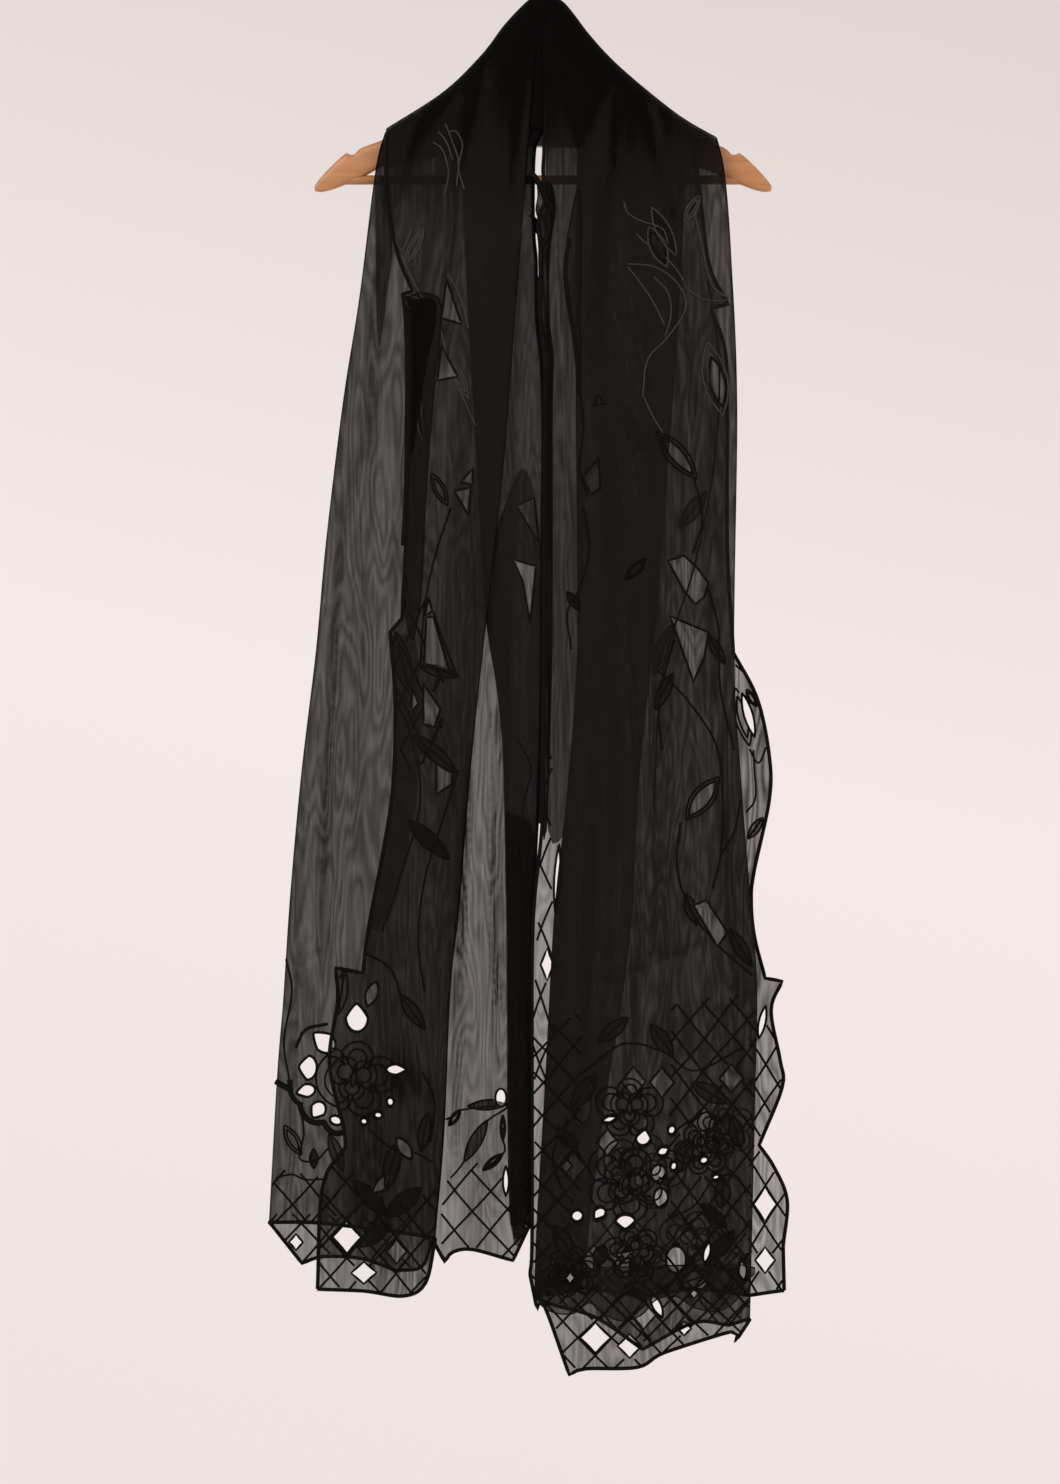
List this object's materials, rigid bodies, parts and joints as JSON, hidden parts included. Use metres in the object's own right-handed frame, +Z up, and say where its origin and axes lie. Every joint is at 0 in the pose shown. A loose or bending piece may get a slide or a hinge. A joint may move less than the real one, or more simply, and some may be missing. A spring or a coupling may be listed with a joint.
{
  "type": "dupatta on a clothes hanger",
  "caption": "Sheer black organza dupatta with corded cutwork borders, draped over a flat wooden hanger with both long tails folded and hanging in front.",
  "frame": {"origin": "the point inside the top of the hook's loop that bears on a rail", "axes": "+Z up, +X to the right as seen from the front, the front with both tails faces -Y"},
  "size_m": [0.5176, 0.0498, 1.425],
  "materials": {
    "organza": "sheer crisp black silk organza with a fine woven moire",
    "cord": "tight black corded and buttonholed stitching",
    "wood": "light honey wood with a satin clear varnish",
    "wire": "bright plated steel wire"
  },
  "bodies": {
    "root": {"hanger_bow": "wood", "hanger_bar": "wood", "hanger_hook": "wire", "neck_back": "organza", "left_front": "organza", "left_under": "organza", "left_back": "organza", "left_pleat_a": "organza", "left_pleat_b": "organza", "right_front": "organza", "right_under": "organza", "right_pleat_a": "organza", "right_pleat_b": "organza", "right_back": "organza"}
  },
  "joints": []
}
